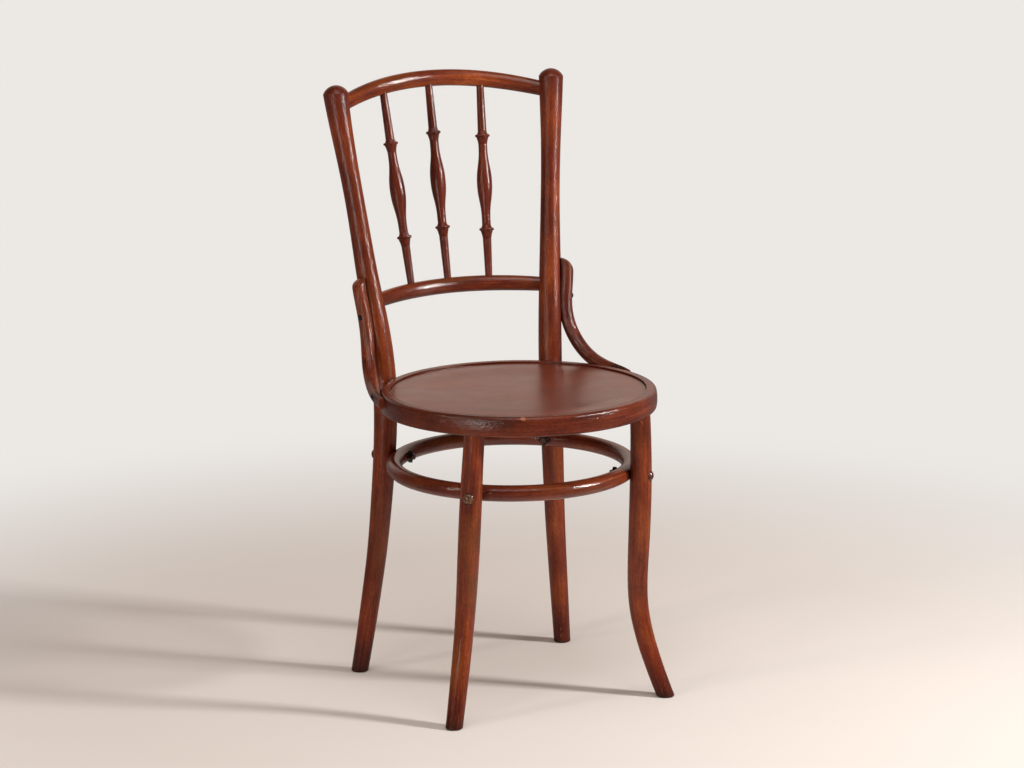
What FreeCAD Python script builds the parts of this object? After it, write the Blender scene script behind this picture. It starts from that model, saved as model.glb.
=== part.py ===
import FreeCAD, Part
import math
import os
from FreeCAD import Vector

# A bentwood cafe chair: round seat, four bent legs tied by a hoop, and an open back of two
# rails and three turned spindles, with a bent brace on each side from post to seat.
# Millimetres. +Z is up and the sitter faces -Y. Every piece is first shaped about the seat's
# upright axis, and all are moved together at the end, so that the origin lies on the floor
# under the middle of the whole chair.

# Seat
seat_diameter = 409.0
seat_top_height = 461.0        # at its centre
seat_slope = 0.75              # degrees that it falls towards the back
seat_ring_width = 36.0
seat_ring_height = 29.5
seat_ring_bulge = 1.0          # how far the outer face swells past its edges
seat_top_round = 6.0
seat_bottom_round = 3.0
seat_rim_width = 16.0          # top of the ring left bare outside the panel
panel_thickness = 4.0
panel_recess = 2.6             # panel's edge lies this far below the ring's top
panel_dish = 6.0               # depth of the pressed hollow
panel_edge_gap = 0.3           # between the panel's edge and the ring's step
panel_edge_chamfer = 1.0
panel_flat_margin = 1.0        # how far its flat margin reaches in past the ring

# Hoop between the legs
hoop_diameter = 373.0
hoop_height = 339.5            # its middle, above the floor
hoop_set_back = 22.5           # its centre lies behind the seat's centre
hoop_rod_diameter = 24.0

# Back posts: one piece each from floor to top. Each row is height, x, y, diameter.
post_foot = (0.0, 173.0, 195.0, 25.7)
post_ankle = (60.0, 165.6, 187.8, 27.2)
post_calf = (131.0, 157.4, 180.2, 28.8)
post_knee = (222.0, 148.5, 172.4, 30.9)
post_top_height = 890.0
# Above the seat a row starts with its share of the way from the seat's top to the post's top
post_bend = (0.2308, 147.4, 184.4, 34.0)
post_neck = (0.5338, 160.4, 208.6, 29.2)
post_shoulder = (0.7856, 171.9, 228.1, 31.2)
post_head = (0.9487, 178.7, 240.7, 36.4)
post_top_diameter = 37.8
post_dome_radius = 20.4        # ball of the domed top, a little over half the post's width
post_at_hoop_diameter = 33.9
post_at_seat_diameter = 35.5
post_hoop_angle = 45.5         # where the post meets the hoop, from +X
post_seat_angle = 50.3         # where the post meets the seat ring, from +X

# Front legs: rows as above
leg_foot = (0.0, 175.0, -135.3, 25.3)
leg_ankle = (60.0, 158.6, -118.7, 26.7)
leg_calf = (131.0, 144.8, -107.6, 28.4)
leg_knee = (222.0, 140.5, -112.8, 31.4)
leg_at_hoop_diameter = 32.2
leg_top_diameter = 30.0
leg_hoop_angle = -46.2
leg_seat_angle = -43.2
leg_top_inset = 19.5           # the top's middle lies this far inside the seat's edge

foot_edge_round = 2.0

# Joints
hoop_housing_depth = 2.0       # how deep a leg or post is cut to seat the hoop against it
seat_housing_depth = 4.5       # and how deep a post is cut to seat the seat ring
brace_let_in = 1.2             # how deep a brace is hollowed to fit the post and the ring
brace_top_let_in = 4.4         # and how deep at its top
joint_clearance = 0.15         # all round a tenon, a bolt or a screw in its hole
leg_tenon_diameter = 20.0
leg_tenon_length = 22.0
rail_tenon_diameter = 12.0
rail_tenon_length = 15.0
spindle_tenon_length = 8.0
mortise_end_gap = 1.0          # room left past a tenon's end

# Back rails: their ends are where the rail's middle line meets the posts' middle lines
crest_drop = 33.5              # the crest's ends lie this far below the posts' tops
crest_arch = 23.5
crest_bow = 61.0
crest_depth = 24.8
crest_thickness = 19.4
lower_rail_rise = 107.5        # the lower rail's ends lie this far above the seat
lower_rail_arch = 4.0
lower_rail_bow = 48.0
lower_rail_depth = 23.8
lower_rail_thickness = 19.2
rail_end_taper = 0.88          # end section as a share of the middle section

# Spindles: the beads' distances are measured along the spindle from the rail next to them
spindle_spread_top = 81.5
spindle_spread_bottom = 64.7
spindle_top_diameter = 11.2
spindle_bottom_diameter = 10.8
spindle_neck_diameter = 13.4    # just above the upper bead
spindle_waist_diameter = 13.4   # between the upper bead and the belly
spindle_belly_diameter = 23.1
spindle_collar_diameter = 13.2  # either side of the lower bead
bead_diameter = 22.4
bead_length = 4.4
bead_shoulder_diameter = 17.6   # where the coves beside a bead run up to it
bead_cove_length = 5.0
upper_bead_distance = 69.6
lower_bead_distance = 76.5
outer_upper_drop = 4.5          # the outer spindles' upper beads lie this much lower
outer_lower_drop = 7.2          # and their lower beads this much
waist_share = 0.138             # the waist's place between the beads, from the upper one
belly_share = 0.505
collar_share = 0.885

# Hip braces
brace_diameter = 20.4
brace_top_rise = 148.0         # its top lies this far above the seat
brace_side_angle = -25.0       # side of the post that the brace lies on, from +X
brace_free_rise = 59.0         # the brace leaves the post this far above the seat
brace_spare_top = 3.0          # bent bar left above the top before it is rounded
brace_crown_spare = 1.0        # how much wider the ball of the rounded top is than the bar
# Where it bends free: angle from +X, how far it lies off the ring, height over the ring's middle
brace_upper_bend = (40.0, 16.0, 41.5)
brace_lower_bend = (33.5, 7.0, 21.6)
brace_ring_angle = 24.0        # the brace first touches the ring here, from +X
brace_ring_rise = 10.1         # and lies this far above the ring's middle there
brace_ring_thickness = 16.4
brace_end_angle = 10.4
brace_end_rise = 5.0           # its end lies this far above the ring's middle
brace_end_height = 17.0
brace_end_thickness = 7.0

# Fasteners
bolt_diameter = 8.0
bolt_head_diameter = 16.5
bolt_head_height = 5.0
bolt_head_sink = 1.6           # depth of the flat cut for a bolt's head in the round member
bolt_end_show = 4.0            # bolt's end past the nut
nut_width = 13.0
nut_thickness = 6.0
nut_sink = 0.6                 # depth of the flat cut for a nut inside a ring
nut_chamfer = 0.8
seat_bolt_rise = 12.5          # above the seat ring's lower edge
screw_diameter = 4.0
screw_head_diameter = 8.0
screw_head_height = 2.2
screw_sink = 0.6
brace_upper_screw_rise = 91.0  # above the seat
brace_upper_screw_length = 34.0
brace_lower_screw_angles = (28.0, 19.5)
screw_panel_gap = 2.0          # between the end of a lower screw and the panel's edge

cutter_reach = 400.0           # how far cutting blocks reach past what they cut

# Worked-out sizes
seat_radius = seat_diameter / 2
seat_ring_bottom = seat_top_height - seat_ring_height
seat_ring_middle = seat_top_height - seat_ring_height / 2
seat_ring_inner = seat_radius - seat_ring_width
rebate_radius = seat_radius - seat_rim_width
rebate_height = seat_top_height - panel_recess - panel_thickness
hoop_radius = hoop_diameter / 2
hoop_inner = hoop_radius - hoop_rod_diameter
back_height = post_top_height - seat_top_height
crest_end_height = post_top_height - crest_drop
lower_rail_end_height = seat_top_height + lower_rail_rise
brace_top_height = seat_top_height + brace_top_rise
brace_free_height = seat_top_height + brace_free_rise
brace_upper_screw_height = seat_top_height + brace_upper_screw_rise
UP = Vector(0, 0, 1)


def polar(radius, angle, height, centre_y=0.0):
    """Point at a radius and an angle in degrees about an upright axis."""
    turn = math.radians(angle)
    return Vector(radius * math.cos(turn), centre_y + radius * math.sin(turn), height)


def sloped_point(point):
    """Where a point of the level seat lies once the seat is set at its slope."""
    pivot = Vector(0, 0, seat_ring_middle)
    return pivot + FreeCAD.Rotation(Vector(1, 0, 0), -seat_slope).multVec(point - pivot)


def sloped(shape):
    """A piece of the level seat, set at the seat's slope."""
    shape.rotate(Vector(0, 0, seat_ring_middle), Vector(1, 0, 0), -seat_slope)
    return shape


def mirrored(shape):
    """The same piece for the chair's left side."""
    return shape.mirror(Vector(0, 0, 0), Vector(1, 0, 0))


def smooth_line(points):
    line = Part.BSplineCurve()
    line.interpolate(points)
    return line


def point_at_height(line, height):
    """Where a rising line reaches a height, and the line's direction there."""
    low, high = line.FirstParameter, line.LastParameter
    for _ in range(50):
        middle = (low + high) / 2
        if line.value(middle).z < height:
            low = middle
        else:
            high = middle
    return line.value(low), line.tangent(low)[0]


def oval(centre, direction, long_way, length, width):
    """Closed oval at right angles to direction. Its length, along long_way, isn't under its width."""
    normal = Vector(direction).normalize()
    first = Vector(long_way) - normal * normal.dot(long_way)
    first.normalize()
    second = normal.cross(first)
    if length == width:
        curve = Part.Circle(centre, normal, length / 2)
        curve.XAxis = first
    else:
        curve = Part.Ellipse(centre + first * (length / 2), centre + second * (width / 2), centre)
    return Part.Wire(curve.toShape())


def bent_round(points, diameters, start_reach=0.0, end_reach=0.0):
    """Round member that follows a smooth line through points and tapers between them."""
    line = smooth_line(points)
    sideways = Vector(1, 0, 0)
    sections = []
    for point, diameter in zip(points, diameters):
        direction = line.tangent(line.parameter(point))[0]
        if not sections and start_reach:
            sections.append(oval(point - direction * start_reach, direction, sideways, diameter, diameter))
        sections.append(oval(point, direction, sideways, diameter, diameter))
    if end_reach:
        sections.append(oval(point + direction * end_reach, direction, sideways, diameter, diameter))
    return Part.makeLoft(sections, True, False), line


def bar(start, direction, diameter, length):
    return Part.makeCylinder(diameter / 2, length, start, direction)


def row_point(row):
    height, x, y, _ = row
    return Vector(x, y, height)


def back_row_point(row):
    share, x, y, _ = row
    return Vector(x, y, seat_top_height + share * back_height)


def dome_waste(top, direction, ball_radius, reach):
    """What is cut away above a ball whose crown is at top, to dome the end of a round member."""
    centre = top - direction * ball_radius
    return bar(centre, direction, 2 * reach, 2 * reach).cut(Part.makeSphere(ball_radius, centre))


def round_foot(shape):
    """Flat foot on the floor with its edge worn round."""
    reach = cutter_reach
    below = Part.makeBox(2 * reach, 2 * reach, reach, Vector(-reach, -reach, -reach))
    shape = shape.cut(below)
    edges = [edge for edge in shape.Edges if edge.BoundBox.ZMax < 0.01]
    return shape.makeFillet(foot_edge_round, edges)


# Middle lines of the legs and posts

hoop_post_reach = hoop_radius + post_at_hoop_diameter / 2 - hoop_housing_depth
hoop_leg_reach = hoop_radius + leg_at_hoop_diameter / 2 - hoop_housing_depth
seat_post_reach = seat_radius + post_at_seat_diameter / 2 - seat_housing_depth
leg_top = sloped_point(polar(seat_radius - leg_top_inset, leg_seat_angle, seat_ring_bottom))
seat_up = sloped_point(Vector(0, 0, seat_ring_middle + 1)) - Vector(0, 0, seat_ring_middle)

post_shoulder_point = back_row_point(post_shoulder)
post_head_point = back_row_point(post_head)
post_end_rise = (post_top_height - post_head_point.z) / (post_head_point.z - post_shoulder_point.z)
post_end = post_head_point + (post_head_point - post_shoulder_point) * post_end_rise
post_spare_top = 6.0

post_points = [
    row_point(post_foot),
    row_point(post_ankle),
    row_point(post_calf),
    row_point(post_knee),
    polar(hoop_post_reach, post_hoop_angle, hoop_height, hoop_set_back),
    polar(seat_post_reach, post_seat_angle, seat_ring_middle),
    back_row_point(post_bend),
    back_row_point(post_neck),
    post_shoulder_point,
    post_head_point,
    post_end + UP * post_spare_top,
]
post_diameters = [
    post_foot[3], post_ankle[3], post_calf[3], post_knee[3],
    post_at_hoop_diameter, post_at_seat_diameter,
    post_bend[3], post_neck[3], post_shoulder[3], post_head[3], post_top_diameter,
]
leg_points = [
    row_point(leg_foot),
    row_point(leg_ankle),
    row_point(leg_calf),
    row_point(leg_knee),
    polar(hoop_leg_reach, leg_hoop_angle, hoop_height, hoop_set_back),
    leg_top,
]
leg_diameters = [
    leg_foot[3], leg_ankle[3], leg_calf[3], leg_knee[3], leg_at_hoop_diameter, leg_top_diameter,
]

post_blank, post_line = bent_round(post_points, post_diameters, start_reach=15.0)
leg_blank, leg_line = bent_round(leg_points, leg_diameters, start_reach=15.0, end_reach=10.0)


def post_diameter_at(height):
    for low, high, low_diameter, high_diameter in zip(
            post_points, post_points[1:], post_diameters, post_diameters[1:]):
        if low.z <= height <= high.z:
            share = (height - low.z) / (high.z - low.z)
            return low_diameter + share * (high_diameter - low_diameter)
    return post_top_diameter


# Rails: bowed back in plan and arched upward, each as part of a circle

def sagitta_drop(offset, half_span, rise):
    """Fall of a circular arc of given half span and rise, at an offset from its middle."""
    radius = (half_span ** 2 + rise ** 2) / (2 * rise)
    return radius - math.sqrt(radius ** 2 - offset ** 2)


class Rail:
    def __init__(self, end_height, arch, bow, depth, thickness):
        self.end, _ = point_at_height(post_line, end_height)
        self.arch = arch
        self.bow = bow
        self.depth = depth
        self.thickness = thickness

    def point(self, x):
        half = self.end.x
        back = self.end.y + self.bow - sagitta_drop(x, half, self.bow)
        up = self.end.z + self.arch - sagitta_drop(x, half, self.arch)
        return Vector(x, back, up)

    def blank(self):
        """Oval bar from post to post, thinner at its ends."""
        steps = 8
        half = self.end.x
        stations = [half * (2 * step / steps - 1) for step in range(steps + 1)]
        points = [self.point(x) for x in stations]
        line = smooth_line(points)
        sections = []
        for x, point in zip(stations, points):
            share = 1 - (1 - rail_end_taper) * (x / half) ** 4
            direction = line.tangent(line.parameter(point))[0]
            sections.append(oval(point, direction, UP, self.depth * share, self.thickness * share))
        return Part.makeLoft(sections, True, False)

    def end_direction(self):
        """Direction in which the right end runs into its post."""
        near = self.point(self.end.x * 0.97)
        return (self.end - near).normalize()

    def tenon(self, post_diameter, clearance, length):
        """Round tenon of the right end, from just inside the shoulder to its tip."""
        direction = self.end_direction()
        start = self.end - direction * (post_diameter / 2 + 4)
        return bar(start, direction, rail_tenon_diameter + 2 * clearance, length + 4)


crest = Rail(crest_end_height, crest_arch, crest_bow, crest_depth, crest_thickness)
lower = Rail(lower_rail_end_height, lower_rail_arch, lower_rail_bow, lower_rail_depth, lower_rail_thickness)
post_at_crest_diameter = post_head[3] - 1.5
post_at_lower_diameter = post_bend[3]


# Spindles

class Spindle:
    def __init__(self, share):
        """share is -1 for the left one, 0 for the middle one and 1 for the right one."""
        top = crest.point(share * spindle_spread_top)
        bottom = lower.point(share * spindle_spread_bottom)
        self.direction = (bottom - top).normalize()
        tilt = abs(self.direction.z)
        self.start = top + self.direction * (crest_depth / 2 / tilt)
        self.end = bottom - self.direction * (lower_rail_depth / 2 / tilt)
        self.length = (self.end - self.start).Length
        self.upper_bead = upper_bead_distance + outer_upper_drop * abs(share)
        self.lower_bead = self.length - lower_bead_distance + outer_lower_drop * abs(share)

    def tenons(self, clearance, extra):
        """The two plain ends that go into the rails."""
        length = spindle_tenon_length + extra
        top = bar(self.start + self.direction * 2, self.direction * -1, spindle_top_diameter + 2 * clearance,
                  length + 2)
        bottom = bar(self.end - self.direction * 2, self.direction, spindle_bottom_diameter + 2 * clearance,
                     length + 2)
        return [top, bottom]

    def solid(self):
        """Turned about its own axis: taper, bead, waist, belly, collar, bead, taper."""
        half_bead = bead_length / 2
        bead_reach = half_bead + bead_cove_length
        upper_bead = self.upper_bead
        lower_bead = self.lower_bead
        waist, belly, collar = [upper_bead + share * (lower_bead - upper_bead)
                                for share in (waist_share, belly_share, collar_share)]
        top_tip = -spindle_tenon_length
        bottom_tip = self.length + spindle_tenon_length
        outline = []

        def corner(distance, diameter):
            return Vector(diameter / 2, 0, distance)

        def straight(*corners):
            outline.extend(Part.makeLine(a, b) for a, b in zip(corners, corners[1:]))

        def curve(*poles):
            line = Part.BezierCurve()
            line.setPoles(list(poles))
            outline.append(line.toShape())

        def bead(middle, before, after):
            """Round bead with a hollow cove running up to it on each side."""
            near = corner(middle - half_bead, bead_shoulder_diameter)
            far = corner(middle + half_bead, bead_shoulder_diameter)
            curve(corner(middle - bead_reach, before), corner(middle - half_bead, before), near)
            outline.append(Part.Arc(near, corner(middle, bead_diameter), far).toShape())
            curve(far, corner(middle + half_bead, after), corner(middle + bead_reach, after))

        def swell(first, last):
            """S-shaped line that leaves and arrives straight along the spindle."""
            pull = 0.45 * (last.z - first.z)
            curve(first, first + UP * pull, last - UP * pull, last)

        straight(corner(top_tip, 0), corner(top_tip, spindle_top_diameter), corner(0, spindle_top_diameter),
                 corner(upper_bead - bead_reach, spindle_neck_diameter))
        bead(upper_bead, spindle_neck_diameter, spindle_waist_diameter)
        straight(corner(upper_bead + bead_reach, spindle_waist_diameter),
                 corner(waist, spindle_waist_diameter))
        swell(corner(waist, spindle_waist_diameter), corner(belly, spindle_belly_diameter))
        swell(corner(belly, spindle_belly_diameter), corner(collar, spindle_collar_diameter))
        straight(corner(collar, spindle_collar_diameter),
                 corner(lower_bead - bead_reach, spindle_collar_diameter))
        bead(lower_bead, spindle_collar_diameter, spindle_collar_diameter)
        straight(corner(lower_bead + bead_reach, spindle_collar_diameter),
                 corner(self.length, spindle_bottom_diameter), corner(bottom_tip, spindle_bottom_diameter),
                 corner(bottom_tip, 0), corner(top_tip, 0))
        turned = Part.Face(Part.Wire(outline)).revolve(Vector(0, 0, 0), UP, 360)
        turned.Placement = FreeCAD.Placement(self.start, FreeCAD.Rotation(UP, self.direction))
        return turned


spindles = {"spindle_left": Spindle(-1), "spindle_centre": Spindle(0), "spindle_right": Spindle(1)}


# Fasteners lie on a line from outside to inside: start is where the head sits

def domed_head(start, direction, diameter, height):
    """Rounded head on the outer side of start."""
    radius = ((diameter / 2) ** 2 + height ** 2) / (2 * height)
    ball = Part.makeSphere(radius, start + direction * (radius - height))
    keep = bar(start - direction * (height + 1), direction, diameter, height + 1)
    return ball.common(keep)


def fastener(start, direction, diameter, length, head_diameter, head_height):
    shank = bar(start - direction * 0.5, direction, diameter, length + 0.5)
    return shank.fuse(domed_head(start, direction, head_diameter, head_height)).removeSplitter()


def square_nut(start, direction):
    """Square nut on the bolt, its face against start."""
    half = nut_width / 2
    block = Part.makeBox(nut_width, nut_width, nut_thickness, Vector(-half, -half, 0))
    outer_edges = [edge for edge in block.Edges if edge.BoundBox.ZMin > nut_thickness - 0.1]
    block = block.makeChamfer(nut_chamfer, outer_edges)
    block = block.cut(bar(Vector(0, 0, -1), UP, bolt_diameter + 2 * joint_clearance, nut_thickness + 2))
    block.Placement = FreeCAD.Placement(start, FreeCAD.Rotation(UP, direction))
    return block


class RingBolt:
    """Bolt from the outside of a leg or post through a ring, with its nut inside the ring."""

    def __init__(self, angle, height, centre_y, member_reach, member_diameter, ring_inner):
        self.inward = (polar(-1, angle, 0)).normalize()
        self.start = polar(member_reach + member_diameter / 2, angle, height, centre_y)
        self.nut_start = polar(ring_inner, angle, height, centre_y)
        self.span = (self.nut_start - self.start).Length

    def bolt(self):
        length = self.span + nut_thickness + bolt_end_show
        return fastener(self.start, self.inward, bolt_diameter, length, bolt_head_diameter, bolt_head_height)

    def nut(self):
        return square_nut(self.nut_start, self.inward)

    def hole(self):
        past = bolt_head_diameter
        return bar(self.start - self.inward * past, self.inward, bolt_diameter + 2 * joint_clearance,
                   self.span + 2 * past)

    def faces(self):
        """Small flats: under the head on the round member, and under the nut inside the ring."""
        past = bolt_head_diameter
        head_seat = bar(self.start - self.inward * past, self.inward, bolt_head_diameter + 1, past)
        nut_seat = bar(self.nut_start, self.inward, nut_width * 1.5, past)
        return head_seat, nut_seat


# A bolt's head sits in a shallow flat, so it starts a little inside the round member
seat_bolt_height = sloped_point(polar(seat_radius, post_seat_angle, seat_ring_bottom + seat_bolt_rise)).z
post_seat_bolt = RingBolt(post_seat_angle, seat_bolt_height, 0.0, seat_post_reach - bolt_head_sink,
                          post_at_seat_diameter, seat_ring_inner + nut_sink)
post_hoop_bolt = RingBolt(post_hoop_angle, hoop_height, hoop_set_back, hoop_post_reach - bolt_head_sink,
                          post_at_hoop_diameter, hoop_inner + nut_sink)
leg_hoop_bolt = RingBolt(leg_hoop_angle, hoop_height, hoop_set_back, hoop_leg_reach - bolt_head_sink,
                         leg_at_hoop_diameter, hoop_inner + nut_sink)


# Rings

def seat_ring_blank():
    """Bent frame: swollen outer face, rounded edges, and a step for the panel."""
    above = seat_top_round
    below = seat_bottom_round
    corner = 1 - math.sqrt(0.5)
    top = seat_top_height
    bottom = seat_ring_bottom
    face = seat_radius - seat_ring_bulge
    outline = [
        Part.makeLine(Vector(seat_ring_inner, 0, bottom), Vector(face - below, 0, bottom)),
        Part.Arc(Vector(face - below, 0, bottom), Vector(face - below * corner, 0, bottom + below * corner),
                 Vector(face, 0, bottom + below)).toShape(),
        Part.Arc(Vector(face, 0, bottom + below), Vector(seat_radius, 0, seat_ring_middle),
                 Vector(face, 0, top - above)).toShape(),
        Part.Arc(Vector(face, 0, top - above), Vector(face - above * corner, 0, top - above * corner),
                 Vector(face - above, 0, top)).toShape(),
        Part.makeLine(Vector(face - above, 0, top), Vector(rebate_radius, 0, top)),
        Part.makeLine(Vector(rebate_radius, 0, top), Vector(rebate_radius, 0, rebate_height)),
        Part.makeLine(Vector(rebate_radius, 0, rebate_height), Vector(seat_ring_inner, 0, rebate_height)),
        Part.makeLine(Vector(seat_ring_inner, 0, rebate_height), Vector(seat_ring_inner, 0, bottom)),
    ]
    return Part.Face(Part.Wire(outline)).revolve(Vector(0, 0, 0), UP, 360)


def seat_panel():
    """Pressed plywood: flat margin on the ring's step, then a shallow hollow of even thickness."""
    edge = rebate_radius - panel_edge_gap
    top = seat_top_height - panel_recess
    margin = seat_ring_inner - panel_flat_margin

    def skin(offset):
        curve = Part.BSplineCurve()
        curve.interpolate([
            Vector(0, 0, top - panel_dish - offset),
            Vector(margin * 0.5, 0, top - panel_dish * 0.88 - offset),
            Vector(margin * 0.8, 0, top - panel_dish * 0.42 - offset),
            Vector(margin, 0, top - offset)],
            InitialTangent=Vector(1, 0, 0), FinalTangent=Vector(1, 0, 0))
        return curve.toShape()

    low = top - panel_thickness
    outline = [
        skin(0),
        Part.makeLine(Vector(margin, 0, top), Vector(edge - panel_edge_chamfer, 0, top)),
        Part.makeLine(Vector(edge - panel_edge_chamfer, 0, top), Vector(edge, 0, top - panel_edge_chamfer)),
        Part.makeLine(Vector(edge, 0, top - panel_edge_chamfer), Vector(edge, 0, low)),
        Part.makeLine(Vector(edge, 0, low), Vector(margin, 0, low)),
        skin(panel_thickness),
        Part.makeLine(Vector(0, 0, low - panel_dish), Vector(0, 0, top - panel_dish)),
    ]
    return Part.Face(Part.Wire(Part.__sortEdges__(outline))).revolve(Vector(0, 0, 0), UP, 360)


def hoop_blank():
    """Bent hoop of round rod, drawn as an outer and an inner half circle."""
    rod = hoop_rod_diameter / 2
    middle = hoop_radius - rod
    low = Vector(middle, 0, -rod)
    high = Vector(middle, 0, rod)
    outline = [
        Part.Arc(low, Vector(hoop_radius, 0, 0), high).toShape(),
        Part.Arc(high, Vector(hoop_inner, 0, 0), low).toShape(),
    ]
    hoop = Part.Face(Part.Wire(outline)).revolve(Vector(0, 0, 0), UP, 360)
    hoop.translate(Vector(0, hoop_set_back, hoop_height))
    return hoop


def brace_reach(height):
    """How far the brace's middle lies from the post's, where it runs down the post."""
    diameter = post_diameter_at(height)
    share = (height - brace_free_height) / (brace_top_height - brace_free_height)
    let_in = brace_let_in + (brace_top_let_in - brace_let_in) * min(1, share)
    return diameter / 2 - let_in + brace_diameter / 2


def brace_stations():
    """Points from the brace's top to its end, with its height and thickness at each."""
    side = polar(1, brace_side_angle, 0)
    points = []
    sizes = []
    spare_top = brace_top_height + brace_spare_top
    for height in (spare_top, (brace_top_height + brace_free_height) / 2, brace_free_height):
        centre, _ = point_at_height(post_line, height)
        points.append(centre + side * brace_reach(height))
        sizes.append((brace_diameter, brace_diameter))
    lie = seat_radius - brace_let_in + brace_ring_thickness / 2
    near_end = seat_radius + brace_end_thickness / 2
    points += [
        sloped_point(polar(reach, angle, seat_ring_middle + rise)) for angle, reach, rise in (
            (brace_upper_bend[0], lie + brace_upper_bend[1], brace_upper_bend[2]),
            (brace_lower_bend[0], lie + brace_lower_bend[1], brace_lower_bend[2]),
            (brace_ring_angle, lie, brace_ring_rise),
            (brace_end_angle, near_end, brace_end_rise))
    ]
    sizes += [
        (brace_diameter, brace_diameter),
        (brace_diameter, brace_diameter),
        (brace_diameter, brace_ring_thickness),
        (brace_end_height, brace_end_thickness + 2 * brace_let_in),
    ]
    return points, sizes


brace_points, brace_sizes = brace_stations()
brace_line = smooth_line(brace_points[::-1])


def brace_blank():
    """Bent bar down the post, then forward and round the seat ring, tapering to its end."""
    sections = []
    for point, (height, thickness) in zip(brace_points, brace_sizes):
        direction = brace_line.tangent(brace_line.parameter(point))[0] * -1
        outward = Vector(point.x, point.y, 0).normalize()
        sections.append(oval(point, direction, direction.cross(outward), height, thickness))
    return Part.makeLoft(sections, True, False)


def brace_over_ring(angle):
    """The brace's thickness outside the seat ring, and its rise over the ring's middle."""
    share = (angle - brace_end_angle) / (brace_ring_angle - brace_end_angle)
    full = brace_ring_thickness - brace_let_in
    thickness = brace_end_thickness + (full - brace_end_thickness) * min(1, share)
    return thickness, brace_end_rise + (brace_ring_rise - brace_end_rise) * share


def beside_brace(height, outward):
    """Point this far outward from the brace's middle, where it runs down the post."""
    middle, _ = point_at_height(brace_line, height)
    return middle + polar(outward, brace_side_angle, 0)


def brace_top_waste():
    """What is cut away to round the brace's top end down from the post to its outer side."""
    ball_radius = brace_diameter + brace_crown_spare
    centre = beside_brace(brace_top_height - ball_radius, -brace_diameter / 2)
    return dome_waste(centre + UP * ball_radius, UP, ball_radius, 2 * brace_diameter)


# Fit the pieces together, right side first

seat_ring = sloped(seat_ring_blank())
hoop = hoop_blank()

post_crown, post_rise = point_at_height(post_line, post_top_height)
post = post_blank.cut(dome_waste(post_crown, post_rise, post_dome_radius, post_top_diameter))
post = round_foot(post)
post = post.cut(seat_ring).cut(hoop)
post_whole = post
for rail, diameter in ((crest, post_at_crest_diameter), (lower, post_at_lower_diameter)):
    post = post.cut(rail.tenon(diameter, joint_clearance, rail_tenon_length + mortise_end_gap))

leg = round_foot(leg_blank).cut(hoop)
leg = leg.cut(bar(leg_top, seat_up, cutter_reach, cutter_reach))
leg = leg.fuse(bar(leg_top - seat_up * 5, seat_up, leg_tenon_diameter, leg_tenon_length + 5)).removeSplitter()
leg_mortise = bar(leg_top - seat_up * 1, seat_up, leg_tenon_diameter + 2 * joint_clearance,
                  leg_tenon_length + mortise_end_gap + 1)

brace = brace_blank().cut(brace_top_waste()).cut(post_whole).cut(seat_ring)

rail_solids = {}
for name, rail, diameter in (
        ("crest_rail", crest, post_at_crest_diameter),
        ("lower_back_rail", lower, post_at_lower_diameter)):
    solid = rail.blank().cut(post_whole).cut(mirrored(post_whole))
    tenon = rail.tenon(diameter, 0, rail_tenon_length)
    solid = solid.fuse(tenon).fuse(mirrored(tenon)).removeSplitter()
    rail_solids[name] = solid
for spindle in spindles.values():
    top_hole, bottom_hole = spindle.tenons(joint_clearance, mortise_end_gap)
    rail_solids["crest_rail"] = rail_solids["crest_rail"].cut(top_hole)
    rail_solids["lower_back_rail"] = rail_solids["lower_back_rail"].cut(bottom_hole)

# Bolts
for bolt, member in ((post_seat_bolt, "post"), (post_hoop_bolt, "post"), (leg_hoop_bolt, "leg")):
    head_seat, nut_seat = bolt.faces()
    tools = [bolt.hole(), head_seat]
    if member == "post":
        post = post.cut(tools)
    else:
        leg = leg.cut(tools)
    ring_tools = [bolt.hole(), nut_seat]
    ring_tools += [mirrored(tool) for tool in ring_tools]
    if bolt is post_seat_bolt:
        seat_ring = seat_ring.cut(ring_tools)
    else:
        hoop = hoop.cut(ring_tools)
seat_ring = seat_ring.cut([leg_mortise, mirrored(leg_mortise)])

# Screws of the right brace
screw_lines = []
inward = polar(-1, brace_side_angle, 0)
start = beside_brace(brace_upper_screw_height, brace_diameter / 2 - screw_sink)
screw_lines.append((start, inward, brace_upper_screw_length))
lower_screw_length = min(brace_over_ring(angle)[0] for angle in brace_lower_screw_angles)
lower_screw_length += seat_rim_width - screw_sink - screw_panel_gap
for angle in brace_lower_screw_angles:
    thickness, rise = brace_over_ring(angle)
    start = sloped_point(polar(seat_radius + thickness - screw_sink, angle, seat_ring_middle + rise))
    screw_lines.append((start, polar(-1, angle, 0), lower_screw_length))
screws = []
for start, inward, length in screw_lines:
    screws.append(fastener(start, inward, screw_diameter, length, screw_head_diameter, screw_head_height))
    past = screw_head_diameter
    hole = bar(start - inward * past, inward, screw_diameter + 2 * joint_clearance,
               past + length + mortise_end_gap / 2)
    head_seat = bar(start - inward * past, inward, screw_head_diameter + 4 * joint_clearance, past)
    brace = brace.cut([hole, head_seat])
    post = post.cut(hole)
    seat_ring = seat_ring.cut([hole, mirrored(hole)])


def both_sides(shapes):
    return Part.makeCompound(list(shapes) + [mirrored(shape) for shape in shapes])


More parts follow.
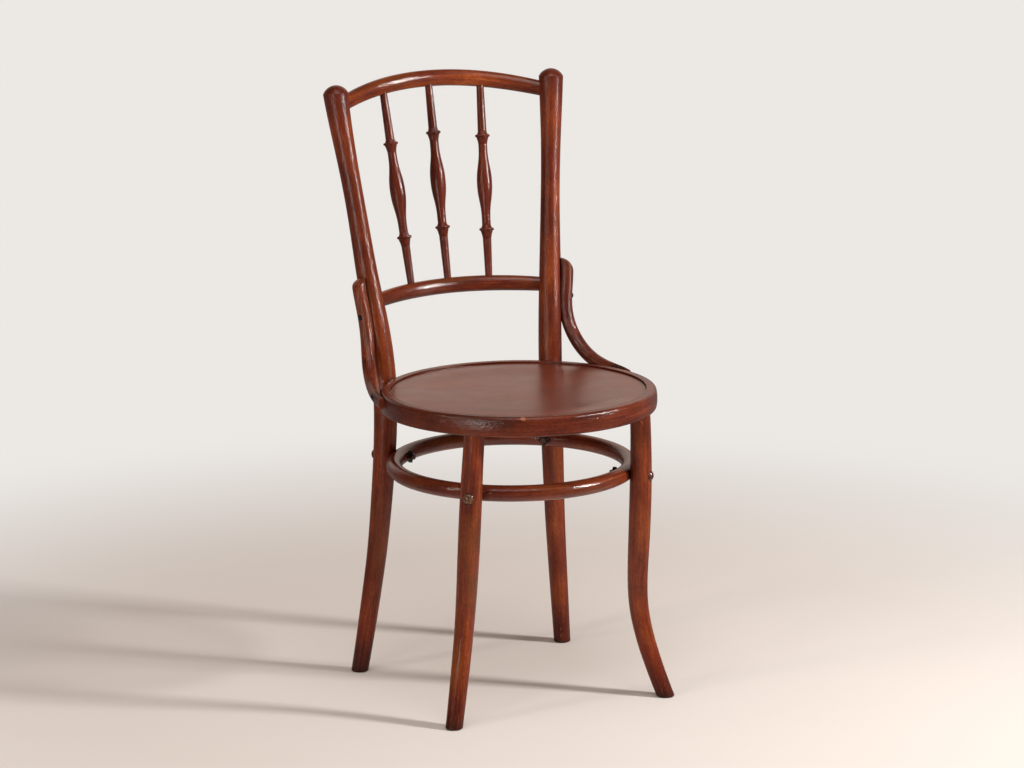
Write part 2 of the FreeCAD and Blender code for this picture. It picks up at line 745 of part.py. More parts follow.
pieces = {
    "back_post_right": post,
    "back_post_left": mirrored(post),
    "front_leg_right": leg,
    "front_leg_left": mirrored(leg),
    "seat_ring": seat_ring,
    "seat_panel": sloped(seat_panel()),
    "stretcher_ring": hoop,
    "crest_rail": rail_solids["crest_rail"],
    "lower_back_rail": rail_solids["lower_back_rail"],
    "hip_brace_right": brace,
    "hip_brace_left": mirrored(brace),
    "stretcher_bolts": both_sides([post_hoop_bolt.bolt(), leg_hoop_bolt.bolt()]),
    "stretcher_nuts": both_sides([post_hoop_bolt.nut(), leg_hoop_bolt.nut()]),
    "seat_bolts": both_sides([post_seat_bolt.bolt()]),
    "seat_nuts": both_sides([post_seat_bolt.nut()]),
    "brace_upper_screws": both_sides(screws[:1]),
    "brace_lower_screws": both_sides(screws[1:]),
}
for name, spindle in spindles.items():
    pieces[name] = spindle.solid()

# The chair reaches from the seat's front to the back of the crest rail
chair_front = -seat_radius
chair_back = crest.point(0).y + crest_thickness / 2
to_origin = Vector(0, -(chair_front + chair_back) / 2, 0)

os.makedirs("parts", exist_ok=True)
for name, shape in pieces.items():
    shape = shape.copy()
    shape.translate(to_origin)
    shape.exportStep("parts/" + name + ".step")
    box = shape.BoundBox
    print(name, len(shape.Solids), shape.isValid(), [round(v, 1) for v in (
        box.XMin, box.XMax, box.YMin, box.YMax, box.ZMin, box.ZMax)])
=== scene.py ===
import math

import bpy
from mathutils import Matrix, Vector


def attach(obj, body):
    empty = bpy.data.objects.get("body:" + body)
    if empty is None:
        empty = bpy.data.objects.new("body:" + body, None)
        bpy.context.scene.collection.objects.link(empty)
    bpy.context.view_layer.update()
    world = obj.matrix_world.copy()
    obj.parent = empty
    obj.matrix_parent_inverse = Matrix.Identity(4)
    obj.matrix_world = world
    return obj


# Looks of the bentwood bistro chair: stained and varnished beech whose grain follows each bent or
# turned member, a satin plywood seat, bolts that were stained with the wood, one of them rubbed to
# its brass, and dark iron nuts and screws. Metres, +Z up, the sitter faces -Y, and "right" in names
# is +X.

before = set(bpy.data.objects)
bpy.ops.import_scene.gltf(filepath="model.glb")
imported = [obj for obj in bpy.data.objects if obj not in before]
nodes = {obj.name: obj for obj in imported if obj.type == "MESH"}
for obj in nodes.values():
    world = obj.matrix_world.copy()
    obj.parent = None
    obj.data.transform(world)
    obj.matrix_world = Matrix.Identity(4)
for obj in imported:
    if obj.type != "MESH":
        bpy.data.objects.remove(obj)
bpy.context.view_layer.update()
scene = bpy.context.scene


# Middle lines of the members, as the part has them

SEAT_Y = -0.05251               # the seat's centre, and the start of every depth below
SEAT_RADIUS = 0.2045
SEAT_MIDDLE = 0.44625
HOOP_Y = SEAT_Y + 0.0225
HOOP_RADIUS = 0.1745
HOOP_HEIGHT = 0.3395

# Height, distance out from the chair's middle plane, depth
POST_LINE = (
    (0.000, 0.1730, 0.1950),
    (0.060, 0.1656, 0.1878),
    (0.131, 0.1574, 0.1802),
    (0.222, 0.1485, 0.1724),
    (0.340, 0.1413, 0.1663),
    (0.447, 0.1391, 0.1676),
    (0.560, 0.1474, 0.1844),
    (0.690, 0.1604, 0.2086),
    (0.798, 0.1719, 0.2281),
    (0.890, 0.1808, 0.2447),
)
LEG_LINE = (
    (0.000, 0.1750, -0.1353),
    (0.060, 0.1586, -0.1187),
    (0.131, 0.1448, -0.1076),
    (0.222, 0.1405, -0.1128),
    (0.340, 0.1389, -0.1224),
    (0.4325, 0.1349, -0.1266),
)
# A curve gives only results from 0 to 1, so depths are lifted by this much in it
CURVE_LIFT = 0.5
# Half span, middle's depth and height, bow and arch
CREST_ARC = (0.1775, 0.2997, 0.8800, 0.0610, 0.0235)
LOWER_ARC = (0.1484, 0.2340, 0.5740, 0.0480, 0.0040)
# Depth and height of the spindles' ends, and how far the outer ones stand off the middle there
SPINDLE_TOP = (0.2997, 0.868)
SPINDLE_BOTTOM = (0.2340, 0.585)
OUTER_TOP = 0.0815
OUTER_BOTTOM = 0.0647
# Where a brace lies from the post's middle line and from the seat ring's, the heights between which
# it turns from one to the other, and what brings its length on the ring in line with its height
BRACE_OUT_OF_POST = 0.0236
BRACE_BEFORE_POST = 0.0110
BRACE_OUT_OF_RING = 0.009
BRACE_OVER_RING = 0.008
BRACE_TURN = (0.475, 0.525)
BRACE_RING_START = 0.345


# Node writing

class Tree:
    """Adds and links the nodes of one material."""

    def __init__(self, material):
        material.use_nodes = True
        self.tree = material.node_tree
        self.tree.nodes.clear()

    def add(self, kind, outlet=0, **inlets):
        node = self.tree.nodes.new("ShaderNode" + kind)
        for name, value in inlets.items():
            if hasattr(node, name):
                setattr(node, name, value)
            else:
                self.put(node.inputs[name.replace("_", " ")], value)
        return node if outlet is None else node.outputs[outlet]

    def put(self, inlet, value):
        if isinstance(value, bpy.types.NodeSocket):
            self.tree.links.new(value, inlet)
        else:
            inlet.default_value = value

    def math(self, operation, *values, clamp=False):
        node = self.tree.nodes.new("ShaderNodeMath")
        node.operation = operation
        node.use_clamp = clamp
        for inlet, value in zip(node.inputs, values):
            self.put(inlet, value)
        return node.outputs[0]

    def between(self, value, low, high, start=0.0, end=1.0):
        """value mapped smoothly from low..high to start..end."""
        node = self.tree.nodes.new("ShaderNodeMapRange")
        node.interpolation_type = "SMOOTHSTEP"
        for inlet, number in zip(node.inputs, (value, low, high, start, end)):
            self.put(inlet, number)
        return node.outputs[0]

    def vector(self, x, y, z):
        return self.add("CombineXYZ", X=x, Y=y, Z=z)

    def noise(self, vector, scale, detail=2.0, roughness=0.5, distortion=0.0):
        return self.add("TexNoise", Vector=vector, Scale=scale, Detail=detail,
                        Roughness=roughness, Distortion=distortion)

    def mix(self, share, first, second):
        node = self.tree.nodes.new("ShaderNodeMix")
        node.data_type = "RGBA"
        for name, value in (("Factor_Float", share), ("A_Color", first), ("B_Color", second)):
            inlet = next(i for i in node.inputs if i.identifier == name)
            self.put(inlet, value)
        return next(o for o in node.outputs if o.identifier == "Result_Color")

    def ramp(self, share, stops):
        node = self.tree.nodes.new("ShaderNodeValToRGB")
        self.put(node.inputs[0], share)
        elements = node.color_ramp.elements
        while len(elements) < len(stops):
            elements.new(0.5)
        for element, (place, colour) in zip(elements, stops):
            element.position = place
            element.color = colour
        return node.outputs[0]

    def curve(self, value, points):
        """Smooth curve through points (value, result), both between 0 and 1."""
        node = self.tree.nodes.new("ShaderNodeFloatCurve")
        self.put(node.inputs["Value"], value)
        curve = node.mapping.curves[0]
        curve.points[0].location = points[0]
        curve.points[1].location = points[-1]
        for point in points[1:-1]:
            curve.points.new(*point)
        node.mapping.update()
        return node.outputs[0]

    def bump(self, height, strength, distance, normal=None):
        node = self.tree.nodes.new("ShaderNodeBump")
        node.inputs["Strength"].default_value = strength
        node.inputs["Distance"].default_value = distance
        self.put(node.inputs["Height"], height)
        if normal is not None:
            self.put(node.inputs["Normal"], normal)
        return node.outputs[0]

    def reach(self, x, y):
        """How far (x, y) lies from the axis."""
        squares = self.math("ADD", self.math("MULTIPLY", x, x), self.math("MULTIPLY", y, y))
        return self.math("SQRT", squares)

    def place(self):
        """The point in the chair's own frame, as x, y and z."""
        point = self.add("TexCoord", outlet="Object")
        node = self.add("SeparateXYZ", outlet=None, Vector=point)
        return node.outputs


def colour(red, green, blue):
    """Colour as it looks, 0 to 255, in the renderer's linear scale."""
    def linear(value):
        value /= 255
        return value / 12.92 if value <= 0.04045 else ((value + 0.055) / 1.055) ** 2.4
    return linear(red), linear(green), linear(blue), 1.0


# Coordinates that run along a member: two across it and one along it

def upright(tree, line):
    """Along a leg or post. Both sides of the chair share one line."""
    x, y, z = tree.place()
    out = tree.curve(z, [(height, distance) for height, distance, _ in line])
    depth = tree.curve(z, [(height, CURVE_LIFT + back) for height, _, back in line])
    across = tree.math("SUBTRACT", tree.math("ABSOLUTE", x), out)
    back = tree.math("SUBTRACT", tree.math("SUBTRACT", y, SEAT_Y - CURVE_LIFT), depth)
    return across, back, z


def ring(tree, centre_y, radius, height):
    """Round a ring, starting at its front."""
    x, y, z = tree.place()
    y = tree.math("SUBTRACT", y, centre_y)
    reach = tree.reach(x, y)
    angle = tree.math("ARCTAN2", x, tree.math("MULTIPLY", y, -1.0))
    return (tree.math("SUBTRACT", reach, radius), tree.math("SUBTRACT", z, height),
            tree.math("MULTIPLY", angle, radius))


def rail(tree, arc):
    """Along a back rail."""
    half, depth, height, bow, arch = arc
    x, y, z = tree.place()
    square = tree.math("MULTIPLY", x, x)
    back = tree.math("MULTIPLY_ADD", square, bow / half ** 2,
                     tree.math("SUBTRACT", y, SEAT_Y + depth))
    up = tree.math("MULTIPLY_ADD", square, arch / half ** 2, tree.math("SUBTRACT", z, height))
    return back, up, x


def turned(tree, top_x, bottom_x):
    """Along a spindle."""
    x, y, z = tree.place()
    top_y, top_z = SPINDLE_TOP
    bottom_y, bottom_z = SPINDLE_BOTTOM
    share = tree.math("DIVIDE", tree.math("SUBTRACT", z, bottom_z), top_z - bottom_z)
    middle_x = tree.math("MULTIPLY_ADD", share, top_x - bottom_x, bottom_x)
    middle_y = tree.math("MULTIPLY_ADD", share, top_y - bottom_y, bottom_y + SEAT_Y)
    return tree.math("SUBTRACT", x, middle_x), tree.math("SUBTRACT", y, middle_y), z


def brace(tree):
    """Down the post, then forward round the seat ring."""
    x, y, z = tree.place()
    side, back, _ = upright(tree, POST_LINE)
    side = tree.math("SUBTRACT", side, BRACE_OUT_OF_POST)
    back = tree.math("ADD", back, BRACE_BEFORE_POST)
    x = tree.math("ABSOLUTE", x)
    y = tree.math("SUBTRACT", y, SEAT_Y)
    reach = tree.reach(x, y)
    angle = tree.math("ARCTAN2", y, x)
    bend = tree.between(z, *BRACE_TURN)
    outward = tree.math("SUBTRACT", reach, SEAT_RADIUS + BRACE_OUT_OF_RING)
    rise = tree.math("SUBTRACT", z, SEAT_MIDDLE + BRACE_OVER_RING)
    length = tree.math("MULTIPLY_ADD", angle, SEAT_RADIUS, BRACE_RING_START)

    def blend(low, high):
        return tree.math("ADD", tree.math("MULTIPLY", bend, high),
                         tree.math("MULTIPLY", tree.math("SUBTRACT", 1.0, bend), low))

    return blend(outward, side), blend(rise, back), blend(length, z)


# Materials

# The stain from its darkest streaks to its palest, by share
STAIN = (
    (0.00, colour(40, 13, 9)),
    (0.28, colour(74, 26, 15)),
    (0.50, colour(103, 41, 20)),
    (0.72, colour(133, 61, 26)),
    (1.00, colour(172, 94, 44)),
)
OLIVE_STAIN = colour(112, 66, 26)
RED_STAIN = colour(112, 38, 22)
PLUM_DARK, PLUM_LIGHT = colour(50, 16, 13), colour(92, 35, 27)
FLECK = colour(48, 16, 9)
KNOT = colour(40, 14, 9)
# Near black for joints and corners: painted shade there, and the dirt gathered in them
JOINT_DIRT_AND_SHADE = colour(20, 9, 7)
RUBBED_WOOD = colour(176, 104, 58)
GRIME = colour(27, 13, 10)
BRASS = colour(150, 102, 52)
METAL_DIRT_AND_SHADE = colour(18, 14, 12)


def grip(tree, distance=0.006):
    """How open a point lies, 0 in a joint's corner and 1 in the open."""
    node = tree.add("AmbientOcclusion", outlet=None, samples=6)
    node.inputs["Distance"].default_value = distance
    return node.outputs["AO"]


def surface(tree, base, rough, normal, coat_normal=None, gloss=0.0, **numbers):
    """The shader that ends a material. Gloss is how much varnish it has, and the numbers are the
    same all over the surface."""
    shader = tree.tree.nodes.new("ShaderNodeBsdfPrincipled")
    for name, value in numbers.items():
        shader.inputs[name.replace("_", " ")].default_value = value
    tree.put(shader.inputs["Base Color"], base)
    tree.put(shader.inputs["Roughness"], rough)
    tree.put(shader.inputs["Coat Weight"], gloss)
    tree.put(shader.inputs["Normal"], normal)
    if coat_normal is not None:
        tree.put(shader.inputs["Coat Normal"], coat_normal)
    out = tree.tree.nodes.new("ShaderNodeOutputMaterial")
    tree.put(out.inputs["Surface"], shader.outputs[0])


def sum_of(tree, *terms):
    """Noise values, each taken round its middle and weighed."""
    total = None
    for value, weight in terms:
        part = tree.math("MULTIPLY", tree.math("SUBTRACT", value, 0.5), weight)
        total = part if total is None else tree.math("ADD", total, part)
    return total


def finish_wood(tree, across, up, along, seed, tone=0.0, plum=None, wear=None, grime=None,
                gloss=0.85, contrast=1.0, dimples=0.35, drift=1.0):
    """Stained beech under varnish, with its streaks running along the member.

    tone makes it paler, plum, wear and grime are shares, gloss is the varnish's weight, contrast
    that of the streaks, dimples that of the hollows in the varnish, and drift that of the changes
    in hue. The first four may vary over the surface, and so may gloss.
    """
    def at(cross, length, shift):
        """Noise coordinates, scaled one way across the member and another along it."""
        return tree.vector(tree.math("MULTIPLY_ADD", across, cross, seed + shift),
                           tree.math("MULTIPLY_ADD", up, cross, seed * 1.7),
                           tree.math("MULTIPLY_ADD", along, length, seed * 0.6 - shift))

    # Each has its own scale across and along, and a shift that sets it apart from the others
    fine = tree.noise(at(1300, 22, 0.0), 1.0, detail=2.0, roughness=0.6)
    streak = tree.noise(at(420, 9.0, 3.1), 1.0, detail=3.0, roughness=0.6, distortion=0.3)
    broad = tree.noise(at(70, 5.0, 7.7), 1.0, detail=3.0, roughness=0.55, distortion=0.4)
    patch = tree.noise(at(34, 16, 11.3), 1.0, detail=4.0, roughness=0.6)
    mottle = tree.noise(at(620, 190, 13.9), 1.0, detail=2.0, roughness=0.6)
    cloud = tree.noise(at(26, 9, 21.4), 1.0, detail=2.0)
    fleck = tree.noise(at(2300, 230, 5.9), 1.0, detail=0.0)
    hollows = tree.noise(at(330, 300, 2.3), 1.0, detail=2.0, roughness=0.65)

    grain = sum_of(tree, (fine, 0.36 * contrast), (streak, 0.55 * contrast),
                   (broad, 0.75 * contrast), (patch, 0.80 * contrast), (mottle, 0.45))
    level = tree.math("ADD", tree.math("ADD", grain, 0.52), tone, clamp=True)
    stain = tree.ramp(level, STAIN)

    # The stain drifts between olive brown and red, and turns plum by the plum share, which on the
    # posts grows towards their heads
    stain = tree.mix(tree.between(cloud, 0.52, 0.70, 0.0, 0.40 * drift), stain, OLIVE_STAIN)
    stain = tree.mix(tree.between(cloud, 0.30, 0.46, 0.45 * drift, 0.0), stain, RED_STAIN)
    if plum is not None:
        stain = tree.mix(plum, stain, tree.mix(mottle, PLUM_DARK, PLUM_LIGHT))

    # Beech's short dark flecks, and painted shade in the joints and corners, which also stands for
    # the stain and dirt gathered there
    stain = tree.mix(tree.between(fleck, 0.62, 0.72, 0.0, 0.40), stain, FLECK)
    # Painted shade: darker the less open the point lies, and also the dirt in the joints
    opening = grip(tree)
    stain = tree.mix(tree.between(opening, 0.15, 0.80, 0.90, 0.0), stain, JOINT_DIRT_AND_SHADE)
    rough = tree.math("MULTIPLY_ADD", patch, 0.20, 0.30)
    if wear is not None:
        uneven = tree.math("ADD", wear, sum_of(tree, (mottle, 1.2), (streak, 1.2)))
        scratch = tree.between(uneven, 0.46, 0.72)
        stain = tree.mix(tree.math("MULTIPLY", scratch, 0.55), stain, RUBBED_WOOD)
        rough = tree.math("MULTIPLY_ADD", scratch, 0.25, rough)
    if grime is not None:
        uneven = tree.math("ADD", grime, sum_of(tree, (mottle, 1.4), (patch, 1.0)))
        dirt = tree.between(uneven, 0.46, 0.66)
        stain = tree.mix(tree.math("MULTIPLY", dirt, 0.85), stain, GRIME)
        rough = tree.math("MULTIPLY_ADD", dirt, 0.25, rough)

    # Pores show in the wood, hollows and ripples in the varnish over it
    pores = tree.bump(tree.math("MULTIPLY_ADD", streak, 0.6, fine), 0.20, 0.00020)
    ripple = tree.noise(at(150, 60, 1.9), 1.0, detail=2.0)
    varnish = tree.bump(hollows, dimples, 0.0012, normal=tree.bump(ripple, 0.5, 0.0006))
    surface(tree, stain, rough, pores, coat_normal=varnish, gloss=gloss,
            Specular_IOR_Level=0.10, Coat_Roughness=0.08, Coat_IOR=1.5)


def give(node_name, material):
    for slot in nodes[node_name].material_slots:
        slot.material = material


def wood(name, coordinates, seed, **look):
    """Stained wood whose grain follows the given coordinates. A look that varies over the surface
    is given as a function of the material's tree."""
    material = bpy.data.materials.new("stained_beech_" + name)
    tree = Tree(material)
    across, up, along = coordinates(tree)
    look = {key: part(tree) if callable(part) else part for key, part in look.items()}
    finish_wood(tree, across, up, along, seed, **look)
    return material


def stain_member(node_name, coordinates, seed, **look):
    give(node_name, wood(node_name, coordinates, seed, **look))


def height_share(low, high, start, end):
    """A share that goes with the height above the floor."""
    return lambda tree: tree.between(tree.place()[2], low, high, start, end)


def near(point, reach, most):
    """A share that falls off round a point, alike on both sides of the chair if x is positive."""
    def share(tree):
        x, y, z = tree.place()
        if point[0] > 0:
            x = tree.math("ABSOLUTE", x)
        apart = tree.add("VectorMath", outlet="Value", operation="DISTANCE",
                         Vector=tree.vector(x, y, z))
        apart.node.inputs[1].default_value = point
        return tree.between(apart, 0.0, reach, most, 0.0)
    return share


scuffed_foot = height_share(0.0, 0.09, 0.34, 0.0)
scuffed_head = height_share(0.400, 0.432, 0.0, 0.34)
dark_foot = height_share(0.0, 0.085, -0.33, 0.0)
dirty_foot = height_share(0.0, 0.030, 0.55, 0.0)
plum_head = height_share(0.825, 0.880, 0.0, 0.70)


def post_line(tree):
    return upright(tree, POST_LINE)


def leg_line(tree):
    return upright(tree, LEG_LINE)


def scuffed_ends(tree):
    return tree.math("ADD", scuffed_foot(tree), scuffed_head(tree))


def crest_tone(tree):
    """Darker towards the chair's right."""
    return tree.between(tree.place()[0], 0.06, 0.15, 0.05, -0.07)


post = dict(tone=dark_foot, plum=plum_head, wear=scuffed_foot, grime=dirty_foot,
            gloss=height_share(0.02, 0.30, 0.15, 0.52), dimples=0.60)
leg = dict(tone=dark_foot, wear=scuffed_ends, grime=dirty_foot,
           gloss=height_share(0.02, 0.30, 0.12, 0.70))
stain_member("back_post_right", post_line, 3.0, **post)
stain_member("back_post_left", post_line, 19.0, drift=0.5, **post)
stain_member("front_leg_right", leg_line, 29.0, **leg)
stain_member("front_leg_left", leg_line, 41.0, **leg)

# Where the ring's varnish is chipped, beside the left front leg
CHIP = (-0.0847, -0.2342, 0.4610)
stain_member("seat_ring", lambda tree: ring(tree, SEAT_Y, SEAT_RADIUS, SEAT_MIDDLE), 53.0,
             contrast=0.85, tone=-0.13, dimples=0.7, gloss=0.75, drift=0.2,
             wear=near(CHIP, 0.0075, 1.1))
stain_member("stretcher_ring", lambda tree: ring(tree, HOOP_Y, HOOP_RADIUS, HOOP_HEIGHT), 61.0,
             tone=-0.05, plum=0.15)
stain_member("crest_rail", lambda tree: rail(tree, CREST_ARC), 71.0,
             tone=crest_tone, dimples=0.45, drift=0.6)
stain_member("lower_back_rail", lambda tree: rail(tree, LOWER_ARC), 83.0,
             tone=-0.05, plum=0.15, dimples=0.5)

# Between a brace's last screw and its end
BRACE_FOOT = (0.2040, 0.0060, 0.4540)
dirty_brace_foot = near(BRACE_FOOT, 0.040, 0.78)
stain_member("hip_brace_right", brace, 97.0,
             tone=-0.12, plum=0.25, dimples=0.9, drift=0.4, grime=dirty_brace_foot)
stain_member("hip_brace_left", brace, 103.0,
             tone=-0.04, dimples=1.0, drift=0.6, grime=dirty_brace_foot)


# Spindles, and the shoulders that run up to their beads

# Middles of the upper and lower bead of the centre spindle and of the right one
CENTRE_BEADS = ((0.0, 0.230083, 0.799543), (0.0, 0.200031, 0.659204))
OUTER_BEADS = ((0.076800, 0.218100, 0.790257), (0.069112, 0.189473, 0.651411))
# Distance below a bead's middle, and radius there
SHOULDER_ABOVE = ((-0.0075, 0.00655), (-0.0050, 0.00705), (-0.0030, 0.00790), (-0.0016, 0.00890))
SHOULDER_BELOW = ((0.0016, 0.00930), (0.0035, 0.00880), (0.0065, 0.00790), (0.0100, 0.00710),
                  (0.0135, 0.00650))
SHOULDER_SIDES = 48


def shoulders(name, beads, side):
    """Turned swellings beside the beads of one spindle, on the spindle's own axis."""
    upper, lower = [Vector((x * side, y, z)) for x, y, z in beads]
    axis = (lower - upper).normalized()
    first = axis.orthogonal().normalized()
    second = axis.cross(first)
    sides = SHOULDER_SIDES
    vertices, faces = [], []
    for middle in (upper, lower):
        for profile in (SHOULDER_ABOVE, SHOULDER_BELOW):
            start = len(vertices)
            for distance, radius in profile:
                for step in range(sides):
                    angle = 2 * math.pi * step / sides
                    vertices.append(middle + axis * distance
                                    + (first * math.cos(angle) + second * math.sin(angle)) * radius)
            for row in range(len(profile) - 1):
                for step in range(sides):
                    a = start + row * sides + step
                    b = start + row * sides + (step + 1) % sides
                    faces.append((a, b, b + sides, a + sides))
            faces.append(tuple(range(start, start + sides))[::-1])
            faces.append(tuple(range(len(vertices) - sides, len(vertices))))
    mesh = bpy.data.meshes.new(name)
    mesh.from_pydata(vertices, [], faces)
    mesh.update()
    for polygon in mesh.polygons:
        polygon.use_smooth = len(polygon.vertices) == 4
    piece = bpy.data.objects.new(name, mesh)
    scene.collection.objects.link(piece)
    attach(piece, "root")
    return piece


# Side in names, which way from the middle, seed and beads
SPINDLES = (
    ("left", -1, 113.0, OUTER_BEADS),
    ("centre", 0, 127.0, CENTRE_BEADS),
    ("right", 1, 131.0, OUTER_BEADS),
)
for side_name, side, seed, beads in SPINDLES:
    material = wood("spindle_" + side_name,
                    lambda tree: turned(tree, side * OUTER_TOP, side * OUTER_BOTTOM), seed,
                    contrast=0.7, tone=-0.15, plum=0.15, dimples=0.5, gloss=0.60)
    give("spindle_" + side_name, material)
    shoulders("bead_shoulders_" + side_name, beads, side).data.materials.append(material)


def seat_panel_material():
    """Pressed plywood whose varnish has gone satin, with a faint broad figure."""
    material = bpy.data.materials.new("pressed_plywood")
    tree = Tree(material)
    x, y, z = tree.place()
    y = tree.math("SUBTRACT", y, SEAT_Y)

    def at(cross, length, shift):
        return tree.vector(tree.math("MULTIPLY_ADD", x, cross, shift),
                           tree.math("MULTIPLY_ADD", y, length, shift),
                           tree.math("MULTIPLY", z, 40.0))

    fine = tree.noise(at(14, 800, 1.0), 1.0, detail=2.0, roughness=0.6)
    figure = tree.noise(at(9, 30, 4.0), 1.0, detail=4.0, roughness=0.6, distortion=0.8)
    knot = tree.noise(at(120, 120, 22.0), 1.0, detail=1.0)
    patch = tree.noise(at(13, 17, 9.0), 1.0, detail=4.0, roughness=0.6)
    rub = tree.noise(at(30, 36, 15.0), 1.0, detail=4.0, roughness=0.65)
    grain = sum_of(tree, (fine, 0.45), (figure, 0.30), (patch, 0.38))
    level = tree.math("ADD", grain, 0.47, clamp=True)
    stain = tree.ramp(level, STAIN)
    stain = tree.mix(tree.between(knot, 0.74, 0.80, 0.0, 0.6), stain, KNOT)
    # Painted shade where the panel meets the ring, which also stands for dirt gathered there
    opening = grip(tree, 0.004)
    stain = tree.mix(tree.between(opening, 0.2, 0.8, 0.9, 0.0), stain, JOINT_DIRT_AND_SHADE)
    rough = tree.math("ADD", 0.34, sum_of(tree, (patch, 0.22), (rub, 0.20)))
    surface(tree, stain, rough, tree.bump(tree.math("ADD", fine, figure), 0.12, 0.0002),
            coat_normal=tree.bump(rub, 0.25, 0.0008), Specular_IOR_Level=0.5,
            gloss=0.45, Coat_Roughness=0.28)
    give("seat_panel", material)


seat_panel_material()


def metal(name, seed, bright, dark, rust, rough, metallic=0.9, varnish=0.0,
          brass_front_left=False):
    """Old metal, bright where it is rubbed and dark or rusty elsewhere. Varnish is the share of it
    that was varnished with the wood."""
    material = bpy.data.materials.new(name)
    tree = Tree(material)
    x, y, z = tree.place()
    point = tree.vector(tree.math("ADD", x, seed), y, z)
    cloud = tree.noise(point, 420.0, detail=4.0, roughness=0.65)
    speck = tree.noise(point, 1900.0, detail=2.0)
    face = tree.mix(tree.between(cloud, 0.40, 0.62), dark, bright)
    if brass_front_left:
        front_left = tree.math("MULTIPLY", tree.math("LESS_THAN", x, 0.0),
                               tree.math("LESS_THAN", y, SEAT_Y))
        slanting = tree.vector(tree.math("MULTIPLY", x, 0.5), y, tree.math("MULTIPLY", z, 1.6))
        rubbed = tree.noise(slanting, 520.0, detail=3.0, roughness=0.6)
        brass = tree.mix(tree.between(rubbed, 0.52, 0.58), dark, BRASS)
        face = tree.mix(front_left, face, brass)
    face = tree.mix(tree.between(speck, 0.60, 0.70, 0.0, 0.7), face, rust)
    # Painted shade in the corners against the wood, which also stands for dirt gathered there
    face = tree.mix(tree.between(grip(tree, 0.003), 0.2, 0.8, 0.8, 0.0), face, METAL_DIRT_AND_SHADE)
    surface(tree, face, tree.math("MULTIPLY_ADD", cloud, -0.35, rough),
            tree.bump(tree.math("ADD", cloud, speck), 0.4, 0.0003), gloss=varnish,
            Metallic=metallic, Coat_Roughness=0.12)
    return material


iron = dict(bright=colour(70, 58, 54), dark=colour(26, 21, 19), rust=colour(66, 34, 22), rough=0.66)
stained = dict(bright=colour(96, 46, 31), dark=colour(56, 25, 18), rust=colour(40, 17, 11),
               rough=0.60, metallic=0.2, varnish=0.45)
give("stretcher_bolts", metal("bolts_stained_and_brass", seed=1.0, brass_front_left=True,
                              **stained))
give("stretcher_nuts", metal("nuts_iron", seed=2.0, **iron))
give("seat_bolts", metal("seat_bolts_stained", seed=3.0, **stained))
give("seat_nuts", metal("seat_nuts_stained", seed=4.0, **stained))
give("brace_upper_screws", metal("upper_screws_iron", seed=5.0, **iron))
give("brace_lower_screws", metal("lower_screws_iron", seed=6.0, **iron))


# Floor, light and camera

BACKDROP = colour(236, 232, 228)
FLOOR_DARK, FLOOR_LIGHT = colour(221, 216, 211), colour(229, 225, 221)
WALL_GLOW = colour(250, 226, 212)
ROOM_LEVEL = 0.30
CAMERA_PLACE = (-2.7558, -5.50831, 1.8551)
CAMERA_YAW = math.radians(-26.71)
CAMERA_PITCH = math.radians(12.80)
CAMERA_ROLL = math.radians(-0.233)
CAMERA_LENS = 149.77            # millimetres, on a sensor 36 mm wide
CAMERA_SENSOR = 36.0


def kinds_of_ray(tree):
    """1 for what the camera sees, straight or through glass, and 1 for what shows in a gloss."""
    rays = tree.add("LightPath", outlet=None).outputs
    seen = tree.math("MAXIMUM", rays["Is Camera Ray"], rays["Is Transmission Ray"])
    return seen, rays["Is Glossy Ray"]


def pale_floor():
    """Lit floor round the chair, which keeps its shadow, and fades into an even backdrop."""
    bpy.ops.mesh.primitive_plane_add(size=60, location=(0, 0, -0.0004))
    floor = bpy.context.object
    floor.name = "floor"
    material = bpy.data.materials.new("pale_floor")
    tree = Tree(material)
    x, y, z = tree.place()
    tint = tree.noise(tree.vector(x, y, 0.0), 1.3, detail=4.0)
    shader = tree.tree.nodes.new("ShaderNodeBsdfPrincipled")
    shader.inputs["Roughness"].default_value = 0.8
    tree.put(shader.inputs["Base Color"], tree.mix(tint, FLOOR_DARK, FLOOR_LIGHT))
    far = tree.reach(x, y)
    seen, glossy = kinds_of_ray(tree)
    # The even part is 1 strong where it is seen and 0.2 in a gloss, where it also starts nearer
    even = tree.add("Emission", Color=BACKDROP,
                    Strength=tree.math("MULTIPLY_ADD", seen, 0.80, 0.20))
    start = tree.math("MULTIPLY_ADD", glossy, -0.35, 0.55)
    end = tree.math("MULTIPLY_ADD", glossy, -0.8, 1.7)
    share = tree.math("MULTIPLY", tree.between(far, start, end),
                      tree.math("MAXIMUM", seen, glossy))
    blend = tree.tree.nodes.new("ShaderNodeMixShader")
    for inlet, value in zip(blend.inputs, (share, shader.outputs[0], even)):
        tree.put(inlet, value)
    out = tree.tree.nodes.new("ShaderNodeOutputMaterial")
    tree.put(out.inputs["Surface"], blend.outputs[0])
    floor.data.materials.append(material)


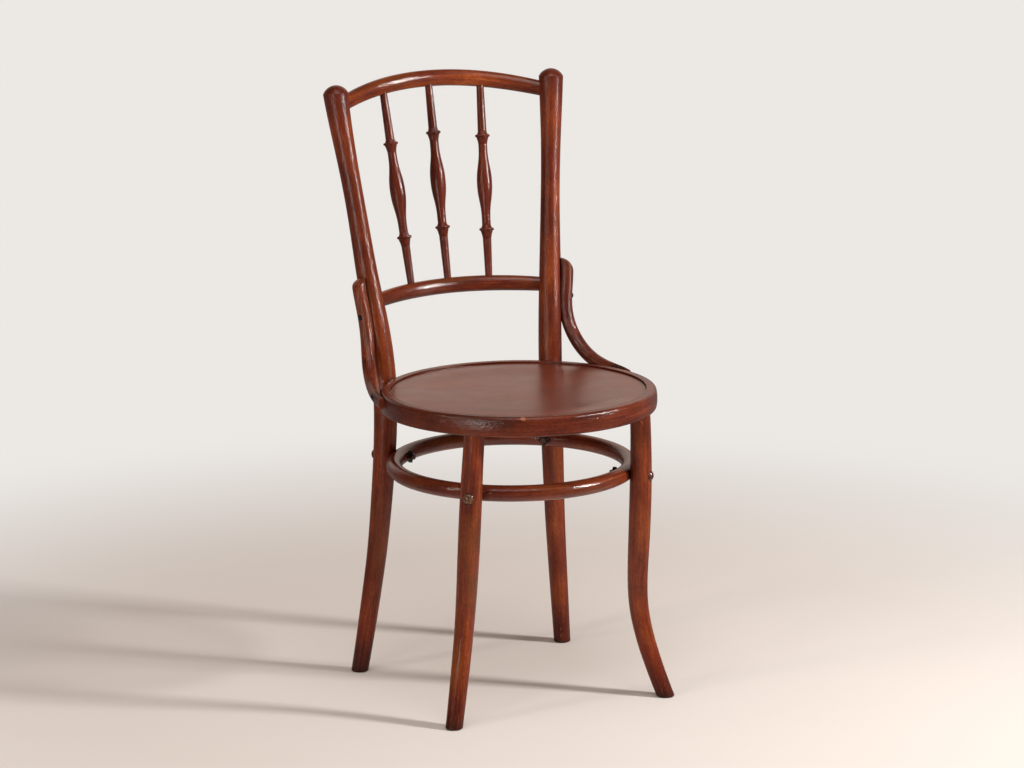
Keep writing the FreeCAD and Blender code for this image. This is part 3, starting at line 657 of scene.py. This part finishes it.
def room():
    """Even pale backdrop, and for gloss a bright wall behind the chair and a dim room before it.
    All other light from the room has one even strength."""
    world = bpy.data.worlds.new("studio")
    scene.world = world
    tree = Tree(world)
    seen, glossy = kinds_of_ray(tree)
    direction = tree.add("TexCoord", outlet="Generated")
    x, y, z = tree.add("SeparateXYZ", outlet=None, Vector=direction).outputs
    ahead = tree.math("ADD", tree.math("MULTIPLY", x, -math.sin(CAMERA_YAW)),
                      tree.math("MULTIPLY", y, math.cos(CAMERA_YAW)))
    wall = tree.math("MULTIPLY", tree.between(ahead, 0.50, 0.90, 0.04, 0.76),
                     tree.between(z, 0.07, 0.19, 0.42, 1.0))
    level = tree.math("ADD", tree.math("MULTIPLY", glossy, wall),
                      tree.math("MULTIPLY", tree.math("SUBTRACT", 1.0, glossy), ROOM_LEVEL))
    level = tree.math("ADD", seen, tree.math("MULTIPLY", tree.math("SUBTRACT", 1.0, seen), level))
    tint = tree.mix(seen, WALL_GLOW, BACKDROP)
    background = tree.add("Background", Color=tint, Strength=level)
    out = tree.tree.nodes.new("ShaderNodeOutputWorld")
    tree.put(out.inputs["Surface"], background)


pale_floor()
room()


LAMPS_LOOK_AT = Vector((0.0, 0.0, 0.5))
WARM_WHITE = (1.0, 0.955, 0.91)


def lamp(name, azimuth, elevation, distance, width, height, power, tint, shines=True):
    """Soft box that looks at the chair from a compass angle measured from +X. One that doesn't
    shine lights the chair without showing as a highlight in its varnish."""
    turn, rise = math.radians(azimuth), math.radians(elevation)
    direction = Vector((math.cos(turn) * math.cos(rise), math.sin(turn) * math.cos(rise),
                        math.sin(rise)))
    light = bpy.data.lights.new(name, "AREA")
    light.shape = "RECTANGLE"
    light.size, light.size_y = width, height
    light.energy = power
    light.color = tint
    thing = bpy.data.objects.new(name, light)
    thing.location = LAMPS_LOOK_AT + direction * distance
    thing.rotation_mode = "QUATERNION"
    thing.rotation_quaternion = direction.to_track_quat("Z", "Y")
    thing.visible_glossy = shines
    scene.collection.objects.link(thing)


# The core lies nearer than the key, which would hide it from the varnish
lamp("key", -44, 22, 3.2, 0.8, 0.8, 10, WARM_WHITE, shines=False)
lamp("key_core", -44, 22, 2.9, 0.33, 0.33, 84, WARM_WHITE)
lamp("side", -172, 24, 3.0, 0.16, 1.8, 14, (1.0, 0.80, 0.66))
lamp("window", -149, 0, 3.0, 0.42, 0.60, 15, (1.0, 0.96, 0.93))
lamp("top", -110, 65, 3.0, 2.0, 2.0, 30, (1.0, 0.99, 0.98))


def photographers_camera():
    """Camera that stands where the photograph was taken from."""
    camera = bpy.data.cameras.new("camera")
    camera.sensor_width = CAMERA_SENSOR
    camera.lens = CAMERA_LENS
    camera.clip_end = 200.0
    forward = Vector((-math.sin(CAMERA_YAW) * math.cos(CAMERA_PITCH),
                      math.cos(CAMERA_YAW) * math.cos(CAMERA_PITCH), -math.sin(CAMERA_PITCH)))
    level_right = forward.cross(Vector((0, 0, 1))).normalized()
    level_up = level_right.cross(forward)
    right = level_right * math.cos(CAMERA_ROLL) + level_up * math.sin(CAMERA_ROLL)
    up = level_up * math.cos(CAMERA_ROLL) - level_right * math.sin(CAMERA_ROLL)
    turned_to = Matrix((right, up, -forward)).transposed().to_4x4()
    eye = bpy.data.objects.new("camera", camera)
    eye.matrix_world = Matrix.Translation(CAMERA_PLACE) @ turned_to
    scene.collection.objects.link(eye)
    scene.camera = eye


photographers_camera()
scene.view_settings.view_transform = "Standard"
